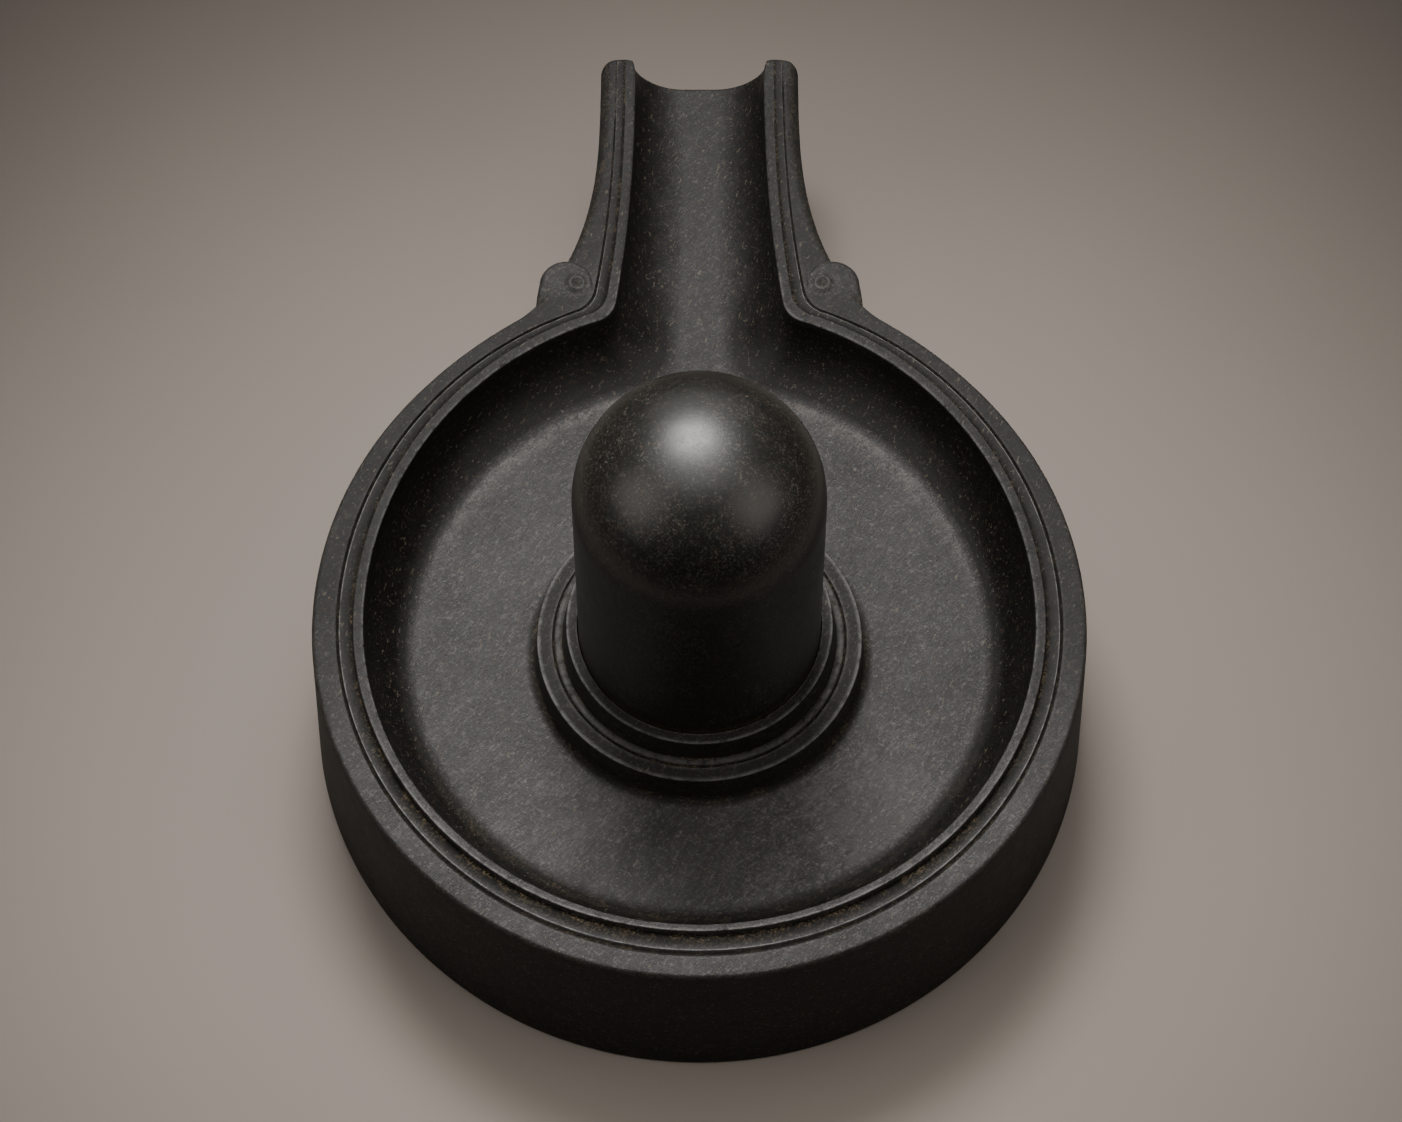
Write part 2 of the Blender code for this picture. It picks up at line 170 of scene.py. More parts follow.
def finishPiece(piece, node, material, angle=None):
    # nothing stands proud of the solid's own box
    low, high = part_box(node)
    places = np.empty(len(piece.data.vertices) * 3, dtype=np.float32)
    piece.data.vertices.foreach_get("co", places)
    places = np.clip(places.reshape(-1, 3), np.array(low), np.array(high))
    piece.data.vertices.foreach_set("co", places.ravel().astype(np.float32))
    piece.data.update()
    piece.data.shade_smooth()
    if angle:
        piece.data.set_sharp_from_angle(angle=radians(angle))
    piece.data.materials.clear()
    piece.data.materials.append(material)
    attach(piece, "root")
    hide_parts(node)


# Everything of the basin that a user would change. Five values together are for the front,
# the side, the back, the spout's tip and the spout's root.
basin = {
    # drum
    "radius": 0.160,
    "back": 0.1615,
    "height": 0.085,
    "swell": 0.017,  # how far the back bulges towards the scrolls
    "swellFrom": (0.57, 0.336),  # start and run, as cosines of the angle from the spout
    "footFlare": 0.003,
    "footRound": 0.0015,
    "arrisWidth": 0.0018,
    "arrisDrop": 0.0040,
    # rim mouldings, as steps outward from the lip's inner edge
    "lipInner": (0.1373, 0.1383, 0.1480, 0.0280, 0.0360),
    "lipWidth": (0.0033, 0.0045, 0.0050, 0.0045, 0.0047),
    "riserFoot": (0.0040, 0.0050, 0.0055, 0.0048, 0.0051),
    "quirkStart": (0.0108, 0.0104, 0.0083, 0.0083, 0.0099),
    "quirkWidth": (0.0021, 0.0010, 0.0009, 0.0006, 0.0008),
    "quirkDepth": 0.0012,
    "stripFall": 0.0011,
    "lipRise": 0.0026,
    "lipCrest": 0.0013,
    "lipSlope": 0.0004,
    "lipEdge": 0.0005,
    "lipEdgeDrop": 0.0006,
    "reliefFade": 0.45,  # the relief sinks flush over this share of the rails
    "railLipCut": 0.00042,  # the fine cut lines that go on along the rails
    "railQuirkCut": 0.00050,
    "cutEnds": {"left": {"lip": 0.85, "quirk": 0.78}, "right": {"lip": 0.78, "quirk": 0.94}},
    # basin
    "depth": 0.028,
    "wallRun": 0.0196,
    "wallRunBack": 0.0237,
    "wallTurn": 78,  # degrees of arc in the hollow wall before the floor's crease
    "cornerTrim": 0.0080,
    "floorCornerTrim": 0.018,
    # spout
    "reach": 0.116,
    "rootInset": 0.013,
    "channelFlatHalf": 0.007,
    "channelRise": 0.0042,
    "channelPower": 2.5,
    "railWidth": 0.0156,
    "railRootWidth": 0.0363,
    "railPower": 3.4,
    "shoulder": 0.0052,
    "shoulderDrop": 0.0070,
    "floorThickness": 0.025,
    "hullFlatHalf": 0.014,
    "tipCornerWidth": 0.0102,
    "tipCornerBack": 0.0045,
    "tipLipWidth": 0.0046,
    "tipLipBack": 0.0034,
    "tipFlare": 0.0010,
    "tipFlareLength": 0.012,
    "endRound": 0.0011,
    "endBlend": 0.0035,  # how far in the end face follows the rounded corners
    # collar, a little in front of the drum's axis
    "collarShift": -0.003,
    "outerRise": 0.0155,
    "outerWidth": 0.0063,
    "outerStretch": 0.03,
    "innerRise": 0.0137,
    "innerWidth": 0.0048,
    "beadWidth": 0.0030,
    "beadRise": 0.0006,
    "innerBatter": 0.0003,
    "outerBatter": 0.0010,
    "ringArris": 0.0006,
    "lineWidth": 0.0008,
    "lineDepth": 0.0008,
    # scroll knobs
    "knobRadius": 0.0117,
    "knobSpacing": 0.114,
    "knobOut": 0.0005,
    "knobTail": 0.018,
    "knobTailSpread": 0.0036,
    "knobCrown": 0.0009,
    "knobFoot": 0.010,
    "eyeShift": 0.0045,
    "eyeRadius": 0.0029,
    "eyeRise": 0.0005,
    "eyeWidth": 0.0007,
    "dimpleWidth": 0.0015,
    "curlDepth": 0.0003,
    "curlWidth": 0.0005,
    "curlGrowth": 0.0012,  # how far the curl winds out in a full turn
    "curlFade": 2.5,  # its end runs out over this angle, in radians
    # bloom with painted sheen, and silt, where 1 is full
    # painted sheen: the bloom is painted stronger in front and weaker at the back, for the light's
    # reflection
    "paintedSheenFront": 1.25,
    "paintedSheenBack": 0.22,
    "wallLoss": 0.45,  # bloom and painted sheen that the wall and the floor lose towards the spout's mouth
    "floorLoss": 0.35,
    "mouth": (0.09, 0.04),
    "collarBloomAndSheen": 0.26,
    "channelBloomAndSheen": 0.62,
    "channelRub": 0.7,
    "lightPatch": (0.066, 0.088, 0.038),  # painted pools of light on the floor beside the collar: how far aside, in front and wide
    "patchLight": {"left": 0.6, "right": 2.2},
    "silt": 0.6,
    "siltReach": 0.10,
    "siltClear": (0.010, 0.030),  # half the width kept clear in the middle, and its soft edge
    # hand work, as depths
    "sway": 0.00020,
    "ripple": 0.00006,
    "chip": 0.00055,
    "sharpAngle": 42,  # edges sharper than this many degrees are shaded as edges
    # mesh steps
    "steps": {"spout": 96, "corner": 12, "back": 66, "front": 82, "hull": 16, "band": 6,
              "strip": 9, "wall": 26, "channel": 10, "floor": 22, "knob": 96},
}

# Places worked out from the sizes above
tipY = basin["radius"] + basin["reach"]
rootY = basin["radius"] - basin["rootInset"]
rimZ = basin["height"]
lipZ = rimZ + basin["lipRise"]
floorZ = rimZ - basin["depth"]
channelEndZ = floorZ + basin["channelRise"]
channelHalf, channelRootHalf = basin["lipInner"][3:]
tipHalf = channelHalf + basin["railWidth"]
rootHalf = channelRootHalf + basin["railRootWidth"]
outerRingZ = floorZ + basin["outerRise"]
innerRingZ = outerRingZ + basin["innerRise"]


def outerShort(half):
    # how far the spout's rounded outer corners fall short of its tip
    width = basin["tipCornerWidth"]
    return basin["tipCornerBack"] * (1 - sqrt(1 - clamp((half - tipHalf + width) / width) ** 2))


def tipShort(half):
    # the same with the smaller rounding of the inner corners, at the lip
    width = basin["tipLipWidth"]
    inner = clamp((channelHalf + width - half) / width)
    return outerShort(half) + basin["tipLipBack"] * (1 - sqrt(1 - inner ** 2))


def mouldingLine(steps, z=rimZ, zTip=rimZ, **extra):
    # one line of the rim's mouldings; it runs round the drum and out along both rails
    front, side, back, tip, root = addTuple(basin["lipInner"], steps)
    line = {"front": front, "side": side, "back": back, "tip": tip, "root": root,
            "power": basin["channelPower"], "trim": basin["cornerTrim"], "swell": 0.0,
            "z": z, "zTip": zTip, "fade": basin["reliefFade"], "short": tipShort(tip), "flare": 0.0,
            "cut": None, "cutDepth": 0.0,
            "worn": 0.0, "wornFront": None, "grime": 0.0, "grimeFront": 0.0, "silt": 0.0, "nick": 0.0,
            "bloom": 1.0, "channelBloomAndSheen": None}
    line.update(extra)
    return line


def edgeLine(inset, railInset, z, zTip, **extra):
    # a line near the outer edge, its inset given for the drum and for the rails
    line = mouldingLine((0,) * 5, z, zTip)
    tip = tipHalf - railInset
    line.update(front=basin["radius"] - inset, side=basin["radius"] - inset, back=basin["back"] - inset,
                tip=tip, root=rootHalf - inset, power=basin["railPower"], swell=basin["swell"],
                fade=1.0, short=tipShort(tip), **extra)
    return line


def outsideLines():
    # the foot's rounded edge, then up the outer wall; along the spout this is the keel
    steps = basin["steps"]["hull"]
    top = edgeLine(0, 0, rimZ - basin["arrisDrop"], rimZ - basin["shoulderDrop"])
    flare, footRound = basin["footFlare"], basin["footRound"]
    footTip, footRoot = basin["hullFlatHalf"], channelRootHalf + basin["railRootWidth"] / 2
    keelZ = channelEndZ - basin["floorThickness"]
    for step in range(4):
        turn = quarter(step, 4)
        under = footRound * (1 - sin(turn))
        out = flare - under
        yield dict(top, front=top["front"] + out, side=top["side"] + out, back=top["back"] + out,
                   tip=mix(footTip / 2, footTip, step / 4), root=footRoot - under,
                   z=footRound * (1 - cos(turn)), zTip=keelZ, short=0.0, nick=0.3, bloom=0.0)
    for step in range(steps + 1):
        turn, up = quarter(step, steps), step / steps
        out = flare * (1 - up)
        tip = mix(footTip, top["tip"], sin(turn))
        yield dict(top, front=top["front"] + out, side=top["side"] + out, back=top["back"] + out,
                   tip=tip, root=mix(footRoot, top["root"], sin(turn)), short=tipShort(tip),
                   z=mix(footRound, top["z"], up), zTip=mix(top["zTip"], keelZ, cos(turn)),
                   # the wall painted darker towards its foot
                   grime=0.25 * (1 - up) ** 3, bloom=0.0)


def arrisLines():
    # the drum's rounded outer arris, chipped, and darkened with grime and painted shade
    b = basin
    for step in range(1, 9):
        turn = quarter(step, 8)
        across, down = 1 - cos(turn), 1 - sin(turn)
        rub = sin(2 * turn)
        yield edgeLine(b["arrisWidth"] * across, b["shoulder"] * across,
                       rimZ - b["arrisDrop"] * down, rimZ - b["shoulderDrop"] * down,
                       worn=0.12 * rub, nick=0.9 * sin(turn) ** 2, grime=0.5 * rub,
                       bloom=sin(turn) ** 2.5)


def bandLines(arris):
    # the flat band between the arris and the quirk
    outer = mouldingLine(addTuple(basin["quirkStart"], basin["quirkWidth"]))
    for step in range(1, basin["steps"]["band"]):
        t = step / basin["steps"]["band"]
        line = dict(outer, swell=mix(arris["swell"], 0, t))
        line["short"] = tipShort(mix(arris["tip"], outer["tip"], t))
        for key in ("front", "side", "back", "tip", "root", "power"):
            line[key] = mix(arris[key], outer[key], t)
        yield line


def quirkLines():
    # the fine groove between the band and the strip, darkened in its depth with grime and painted shade,
    # its edges painted paler as highlights
    b = basin
    section = ((1.25, 0.0, 0.25), (1.0, 0.18, 0.1), (0.75, 0.75, 0),  # place across, depth, rub
               (0.5, 1.0, 0), (0.25, 0.75, 0), (0.0, 0.16, 0.2))
    for share, depth, rub in section:
        place = addTuple(b["quirkStart"], b["quirkWidth"], share)
        yield mouldingLine(place, rimZ - b["quirkDepth"] * depth,
                           cut="quirk", cutDepth=b["railQuirkCut"] * depth,
                           worn=rub * 0.4, nick=0.6 * rub, grime=0.6 * depth,
                           bloom=max(0.0, 1 - 1.6 * depth))


def stripLines():
    # the strip that sinks towards the foot of the riser, where dirt gathers and painted shade darkens
    # it;
    # in front more painted shade stands for the lip's shadow, and its outer edge is painted pale as a
    # highlight
    b, steps = basin, basin["steps"]["strip"]
    for step in range(steps + 1):
        t = mix(0.03, 1.0, step / steps)
        edge = 1 if step == 0 else 0
        place = mixTuple(b["quirkStart"], b["riserFoot"], t)
        yield mouldingLine(place, rimZ - b["stripFall"] * t ** 2,
                           cut="lip", cutDepth=b["railLipCut"] * ease((t - 0.8) / 0.2),
                           worn=0.8 * edge, nick=0.5 * edge, grime=0.8 * ease((t - 0.66) / 0.3),
                           grimeFront=0.55 * ease((t - 0.05) / 0.6),
                           bloom=mix(0.8, 0.1, ease(t * 1.5)))


def lipLines():
    # up the riser, over the lip's rounded outer arris and crest, and down its inner rounding
    b = basin
    foot, top, edge, crest = b["riserFoot"], b["lipWidth"], (b["lipEdge"],) * 5, (b["lipCrest"],) * 5
    rise = lipZ - b["lipSlope"] - rimZ
    # the riser's foot is darkened with grime and painted shade
    yield mouldingLine(mixTuple(foot, top, 0.4), rimZ - b["stripFall"] * 0.5,
                       cut="lip", cutDepth=b["railLipCut"], grime=0.8)
    yield mouldingLine(mixTuple(foot, top, 0.8), rimZ + rise * 0.45,
                       cut="lip", cutDepth=b["railLipCut"] * 0.5, grime=0.3)
    # painted highlight: the lip's outer rounding and crest are painted paler towards the front
    for step in range(1, 5):
        turn = quarter(step, 4)
        place = addTuple(top, edge, cos(turn) - 1)
        yield mouldingLine(place, rimZ + rise - b["lipEdgeDrop"] * (1 - sin(turn)),
                           worn=0.10 * sin(turn), wornFront=0.9 * sin(turn), nick=0.35)
    for share in (0.35, 0.7, 1.0):
        place = mixTuple(addTuple(top, edge, -1), crest, share)
        yield mouldingLine(place, mix(rimZ + rise, lipZ, share),
                           worn=0.06, wornFront=0.5 * (1 - share))
    # painted highlight: a pale line along the lip's inner edge, partly wear
    for step in range(1, 7):
        turn = quarter(step, 6)
        down, rub = 1 - cos(turn), sin(2 * turn)
        place = tuple(c * (1 - sin(turn)) for c in crest)
        yield mouldingLine(place, lipZ - b["lipCrest"] * down, rimZ - b["lipCrest"] * 0.9 * down,
                           flare=sin(turn), worn=0.7 * rub ** 2, wornFront=0.1, nick=0.5 * rub)


def rimLines():
    arris = list(arrisLines())
    return [*arris, *bandLines(arris[-1]), *quirkLines(), *stripLines(), *lipLines()]


def basinLines():
    # down the hollow wall: it stops at the floor's crease, and runs out level along the channel
    b, steps = basin, basin["steps"]["wall"]
    lip = rimLines()[-1]
    last = radians(b["wallTurn"])
    front, side, back = addTuple(b["lipInner"][:3], (b["wallRun"], b["wallRun"], b["wallRunBack"]), -1)
    flatHalf = b["channelFlatHalf"]
    for step in range(1, steps + 1):
        share = step / steps
        across = (1 - cos(last * share)) / (1 - cos(last))
        down = sin(last * share) / sin(last)
        railAcross, railDown = 1 - cos(quarter(share, 1)), sin(quarter(share, 1))
        silt = b["silt"] * exp(-((1 - across) / 0.05) ** 2)
        below = ease(share / 0.1)
        bloom = ease((across - 0.72) / 0.28) - (1 - ease((across - 0.5) / 0.35)) * below
        channelBloomAndSheen = (b["channelBloomAndSheen"] * ease((railAcross - 0.2) / 0.8)
                        - b["channelRub"] * (1 - ease(railAcross / 0.45)) * below)
        yield dict(lip, front=mix(lip["front"], front, across), side=mix(lip["side"], side, across),
                   back=mix(lip["back"], back, across), tip=mix(lip["tip"], flatHalf, railAcross),
                   root=mix(lip["root"], flatHalf * channelRootHalf / channelHalf, railAcross),
                   trim=mix(lip["trim"], b["floorCornerTrim"], across), z=mix(lip["z"], floorZ, down),
                   zTip=mix(lip["zTip"], channelEndZ, railDown), fade=mix(lip["fade"], 1, share),
                   short=lip["short"] * (1 - railDown) ** 2, flare=(1 - railDown) ** 2,
                   worn=0.25 * exp(-(share / 0.03) ** 2), wornFront=None, nick=0.0,
                   # grime and painted shade darken a band across the front of the wall
                   grime=0.0, grimeFront=0.5 * exp(-((across - 0.72) / 0.14) ** 2),
                   silt=silt, bloom=bloom, channelBloomAndSheen=channelBloomAndSheen)


def collarProfile():
    # (radius, height, stretch, wear with painted highlight on the ring edges, grime with painted shade
    # in the creases and the groove) from the basin's floor inward to the socket
    b = basin
    wide = 1 + b["outerStretch"]
    ringEdge = socketRadius + b["innerWidth"]
    beadIn = ringEdge + b["innerBatter"]
    beadOut = beadIn + b["beadWidth"]
    lineOut = beadOut + b["lineWidth"]
    outerEdge = lineOut + b["outerWidth"]
    foot = outerEdge + b["outerBatter"]
    outer = [(foot + 0.0020, floorZ, 0, 0.35), (foot + 0.0007, floorZ + 0.0001, 0, 0.7),
             (foot + 0.0001, floorZ + 0.0007, 0, 0.7)]
    for share in (0.2, 0.4, 0.6, 0.8):
        edge = outerEdge + b["outerBatter"] * (1 - share)
        outer.append((edge, mix(floorZ, outerRingZ, share), 0, 0.15))
    outer += roundOver(outerEdge, outerRingZ, b["ringArris"], 0.5)
    for share in (0.25, 0.5, 0.75):
        outer.append((mix(outerEdge - b["ringArris"], lineOut, share), outerRingZ, 0, 0.1))
    middle, depth = (lineOut + beadOut) / 2, b["lineDepth"]
    outer += [(lineOut + 0.0001, outerRingZ, 0.25, 0.2),
              (mix(lineOut, middle, 0.5), outerRingZ - depth * 0.7, 0, 0.8),
              (middle, outerRingZ - depth, 0, 1),
              (mix(beadOut, middle, 0.5), outerRingZ - depth * 0.6, 0, 0.8)]
    for step in range(8):
        turn = pi * 0.83 * step / 7
        reach = (1 - cos(turn)) / 2
        outer.append((mix(beadOut, beadIn, reach), outerRingZ + b["beadRise"] * sin(turn),
                      0.3 * sin(turn), 0.15 + 0.5 * reach ** 3))
    outer.append((beadIn - 0.0001, outerRingZ + b["beadRise"] * 0.6, 0, 0.8))
    inner = [(mix(beadIn, ringEdge, share), mix(outerRingZ + b["beadRise"], innerRingZ, share), 0, 0.1)
             for share in (0.2, 0.4, 0.6, 0.8)]
    inner += roundOver(ringEdge, innerRingZ, b["ringArris"], 0.5)
    for share in (0.25, 0.5, 0.75):
        inner.append((mix(ringEdge - b["ringArris"], socketRadius, share), innerRingZ, 0, 0.15 * share))
    inner += [(socketRadius + 0.0002, innerRingZ, 0.3, 0.5), (socketRadius, innerRingZ - 0.0002, 0, 1),
              (socketRadius, mix(innerRingZ, socketZ, 0.4), 0, 0.6), (socketRadius, socketZ, 0, 0.6)]
    rows = [(radius, z, wide, worn, grime) for radius, z, worn, grime in outer]
    for index, (radius, z, worn, grime) in enumerate(inner):
        rows.append((radius, z, mix(wide, 1, min(1, (index + 1) / 4)), worn, grime))
    return rows


def railHalf(line, y):
    # half the distance between the two rails' copies of a line
    share = max(0.0, (tipY - y) / (tipY - rootY))
    half = line["tip"] + (line["root"] - line["tip"]) * share ** line["power"]
    flare = max(0.0, 1 - (tipY - y) / basin["tipFlareLength"]) ** 2
    return half + basin["tipFlare"] * line["flare"] * flare


def drumPlace(line, angle):
    # a point of the line round the drum; the angle is measured from the spout's side
    if angle > pi / 2:
        return line["side"] * sin(angle), line["front"] * cos(angle)
    start, run = basin["swellFrom"]
    grow = 1 + line["swell"] * clamp((cos(angle) - start) / run) ** 3
    return line["side"] * sin(angle) * grow, line["back"] * cos(angle) * grow


def cornerAngle(line):
    # where the line round the drum meets the line of the rail
    low, high = 0.0, pi / 2
    for _ in range(40):
        angle = (low + high) / 2
        x, y = drumPlace(line, angle)
        if x > railHalf(line, y):
            high = angle
        else:
            low = angle
    return high


def lineHeight(line, share, hand):
    # along a rail the relief sinks, and only the cut lines go on to their ends
    sunk = ease(share / line["fade"])
    height = mix(line["z"], line["zTip"], sunk)
    if line["cut"]:
        end = basin["cutEnds"][hand][line["cut"]]
        height -= line["cutDepth"] * sunk * (1 - ease((share - end + 0.09) / 0.09))
    return height


def halfPath(line, hand):
    # from the tip down the rail, round the corner, then along the drum's back and front;
    # each point is followed by how far along the rail it is
    steps = basin["steps"]
    angle = cornerAngle(line)
    corner = drumPlace(line, angle)
    railEnd = corner[1] + line["trim"]
    start = (railHalf(line, railEnd), railEnd)
    angle += line["trim"] / hypot(*corner)
    end = drumPlace(line, angle)
    tip = tipY - line["short"] - basin["endRound"]
    for step in range(steps["spout"] + 1):
        share = 1 - step / steps["spout"]
        y = mix(railEnd, tip, share)
        yield railHalf(line, y), y, lineHeight(line, share, hand), share
    for step in range(1, steps["corner"] + 1):
        t = step / steps["corner"]
        x, y = ((1 - t) ** 2 * a + 2 * t * (1 - t) * b + t * t * c
                for a, b, c in zip(start, corner, end))
        yield x, y, line["z"], 0.0
    for step in range(1, steps["back"] + 1):
        yield *drumPlace(line, mix(angle, pi / 2, step / steps["back"])), line["z"], 0.0
    for step in range(1, steps["front"] + 1):
        yield *drumPlace(line, pi / 2 * (1 + step / steps["front"])), line["z"], 0.0


def fullPath(line):
    # both halves of the line as one, from the right rail's end round to the left one's
    right, left = list(halfPath(line, "right")), list(halfPath(line, "left"))
    right[-1] = (0.0, *right[-1][1:])
    return right + [(-x, y, z, share) for x, y, z, share in reversed(left[:-1])]


def crossRows(carving, loop):
    # rows across the spout between its two rails, the one at the drum last
    steps = basin["steps"]["channel"]
    rows = []
    for index in range(basin["steps"]["spout"] + 1):
        right, left = loop[index], loop[-1 - index]
        row = [right]
        for step in range(1, steps):
            place = mixTuple(carving.points[right], carving.points[left], step / steps)
            row.append(carving.addPoint(place, *carving.marks[right]))
        rows.append(row + [left])
    for first, second in zip(rows, rows[1:]):
        carving.strip(first, second)
    return rows


def drumLoop(loop, rows):
    # the line round the drum, closed across the spout's root
    spout = basin["steps"]["spout"]
    return loop[spout:len(loop) - spout] + rows[-1][-2:0:-1]


def nearMouth(y):
    # 0 in most of the basin and 1 at the spout's mouth
    start, run = basin["mouth"]
    return ease((y - start) / run)


def paintedLightPatches(x, y):
    # two painted pools of light lie in front of the collar, left and right
    aside, ahead, reach = basin["lightPatch"]
    lightPatch = exp(-((abs(x) - aside) ** 2 + (y + ahead) ** 2) / reach ** 2)
    side = "right" if x > 0 else "left"
    return lightPatch * basin["patchLight"][side] - basin["floorLoss"] * nearMouth(y)


def siltPlace(x, y):
    # silt lies along the back of the floor and leaves the spout's mouth clear
    clear, soft = basin["siltClear"]
    return ease(y / basin["siltReach"]) * ease((abs(x) - clear) / soft)


def carveFloor(carving, edge):
    # rings from the floor's edge inward over the collar to the socket, on rays from its axis
    shift, steps, profile = basin["collarShift"], basin["steps"]["floor"], collarProfile()
    places = [(carving.points[i][0], carving.points[i][1] - shift) for i in edge]
    previous = edge
    for step in range(1, steps):
        t = step / steps
        ring = []
        for x, y in places:
            away = hypot(x, y)
            scale = mix(1, profile[0][0] / away, t)
            wide = mix(1, profile[0][2], t)
            silt = basin["silt"] * (1 - ease(t / 0.16)) * siltPlace(x, y)
            place = (x * scale * wide, y * scale + shift, floorZ)
            ring.append(carving.addPoint(place, 0, 0, silt, 0, 1 + paintedLightPatches(*place[:2])))
        carving.closedStrip(previous, ring)
        previous = ring
    for radius, z, wide, worn, grime in profile:
        ring = []
        for x, y in places:
            scale = radius / hypot(x, y)
            place = (x * scale * wide, y * scale + shift, z)
            ring.append(carving.addPoint(place, worn, grime, 0, 0.25 * worn, basin["collarBloomAndSheen"]))
        carving.closedStrip(previous, ring)
        previous = ring
    carving.faces.append(tuple(previous))


def closeEnd(carving, contour):
    # the spout's end face: flat in the middle and rounded over towards its outline
    radius, endBlend = basin["endRound"], basin["endBlend"]
    outline = [carving.points[i] for i in contour]
    tree = kdtree.KDTree(len(outline))
    inside = []
    for index, (x, y, z) in enumerate(outline):
        tree.insert((x, z, 0), index)
        before, after = outline[index - 1], outline[(index + 1) % len(outline)]
        along = Vector((after[0] - before[0], after[2] - before[2]))
        if along.length > 1e-7:
            normal = Vector((-along.y, along.x)).normalized()
            for depth in (radius * 0.12, radius * 0.45, radius):
                inside.append((Vector((x, z)) + normal * depth, depth))
    tree.balance()
    grid = 0.0030
    for column in range(-15, 16):  # wide and high enough for the whole end face
        for row in range(12, 29):
            inside.append((Vector((column * grid, row * grid)), radius * 1.6))
    flat = [Vector((x, z)) for x, y, z in outline]
    places, targets = list(flat), []
    for place, depth in inside:
        nearest, index, away = tree.find((place.x, place.y, 0))
        if away > depth * 0.85 and isInside(place, flat):
            short = tipY - radius - outline[index][1] - outerShort(abs(outline[index][0]))
            lift = radius * sqrt(1 - (1 - clamp(away / radius)) ** 2)
            fallBack = short * max(0.0, 1 - away / endBlend) ** 2
            places.append(place)
            targets.append(tipY - radius + lift - outerShort(abs(place.x)) - fallBack)
    result = geometry.delaunay_2d_cdt(places, [], [tuple(range(len(flat)))], 1, 1e-9)
    points, _, faces, origins, *_ = result
    indices = []
    for point, source in zip(points, origins):
        if source and min(source) < len(flat):
            indices.append(contour[min(source)])
        elif source:
            indices.append(carving.addPoint((point.x, targets[min(source) - len(flat)], point.y)))
        else:
            indices.append(carving.addPoint((point.x, tipY - radius, point.y)))
    carving.faces += [tuple(indices[i] for i in face) for face in faces]


def isInside(place, outline):
    inside = False
    for a, b in zip(outline, outline[1:] + outline[:1]):
        if (a.y > place.y) != (b.y > place.y):
            if place.x < (b.x - a.x) * (place.y - a.y) / (b.y - a.y) + a.x:
                inside = not inside
    return inside


def bloomAndSheenAt(y, z):
    # grey bloom and painted sheen: strongest in the basin and in front, where the painted sheen stands
    # in for the light's reflection, weaker along the sides and the rails
    if z < rimZ - basin["stripFall"] * 2:
        return 1 - basin["wallLoss"] * nearMouth(y)
    front = ease((-y / basin["radius"] + 0.1) / 0.9)
    return mix(basin["paintedSheenBack"], basin["paintedSheenFront"], front)


def carveBasin():
    carving = Carving()
    loops = []
    for line in (*outsideLines(), *rimLines(), *basinLines()):
        loop = []
        for x, y, z, share in fullPath(line):
            silt = line["silt"] * (1 - ease(share / 0.12)) * siltPlace(x, y)
            front = ease((-y / basin["radius"] - 0.1) / 0.6)
            worn = line["worn"]
            if line["wornFront"] is not None:
                worn = mix(worn, line["wornFront"], front)
            worn *= 1 - 0.75 * ease(share / 0.3)
            grime = line["grime"] + line["grimeFront"] * front
            bloom = line["bloom"] * bloomAndSheenAt(y, z)
            if line["channelBloomAndSheen"] is not None:
                bloom = mix(bloom, line["channelBloomAndSheen"], ease(share / 0.25))
            loop.append(carving.addPoint((x, y, z), worn, grime, silt, line["nick"], bloom))
        loops.append(loop)
    for first, second in zip(loops, loops[1:]):
        carving.strip(first, second)
    keelRows = crossRows(carving, loops[0])
    carving.faces.append(tuple(drumLoop(loops[0], keelRows)))
    floorRows = crossRows(carving, loops[-1])
    carveFloor(carving, drumLoop(loops[-1], floorRows))
    rightSide = [loop[0] for loop in loops]
    leftSide = [loop[-1] for loop in reversed(loops)]
    closeEnd(carving, rightSide + floorRows[0][1:-1] + leftSide + keelRows[0][-2:0:-1])
    return carving


def knobRows():
    # the post's rounded foot, its side, the rounded arris and the faintly domed top
    b = basin
    top, r = rimZ + b["knobCrown"], b["knobRadius"]
    yield 0, b["knobFoot"], 0, 0.2
    for step in range(1, 13):
        turn = quarter(step, 12)
        yield r * sin(turn), b["knobFoot"] + r * (1 - cos(turn)), 0, 0.1
    start, end = b["knobFoot"] + r, top - r * 0.22
    for step in range(1, 19):
        yield r, mix(start, end, step / 19), 0, 0
    for step in range(11):
        turn = quarter(step, 10)
        radius = r * (1 - 0.2 * (1 - cos(turn)))
        yield radius, end + r * 0.19 * sin(turn), 0.35 * sin(2 * turn), 0
    for step in range(1, 34):
        t = 1 - step / 34
        yield r * 0.8 * t, top - r * 0.03 * t * t + b["knobCrown"] * 0.25 * (1 - t * t), 0, 0
    yield 0, top + b["knobCrown"] * 0.25, 0, 0


def leadIntoDrum(x, y, z):
    # the knob's drum side runs on into the drum, growing wider and sinking under the band
    b = basin
    radius = hypot(x, y)
    if y >= 0 or radius == 0:
        return x, y, z
    back, side, size = -y / radius, abs(x) / radius, radius / b["knobRadius"]
    half = (b["knobRadius"] + b["knobTailSpread"] * back) * side ** 0.25
    x, y = copysign(half * size, x), -b["knobTail"] * back * size
    if z > rimZ / 2:
        z -= b["knobCrown"] * 1.6 * ease(-y / (b["knobTail"] / 2))
    return x, y, z


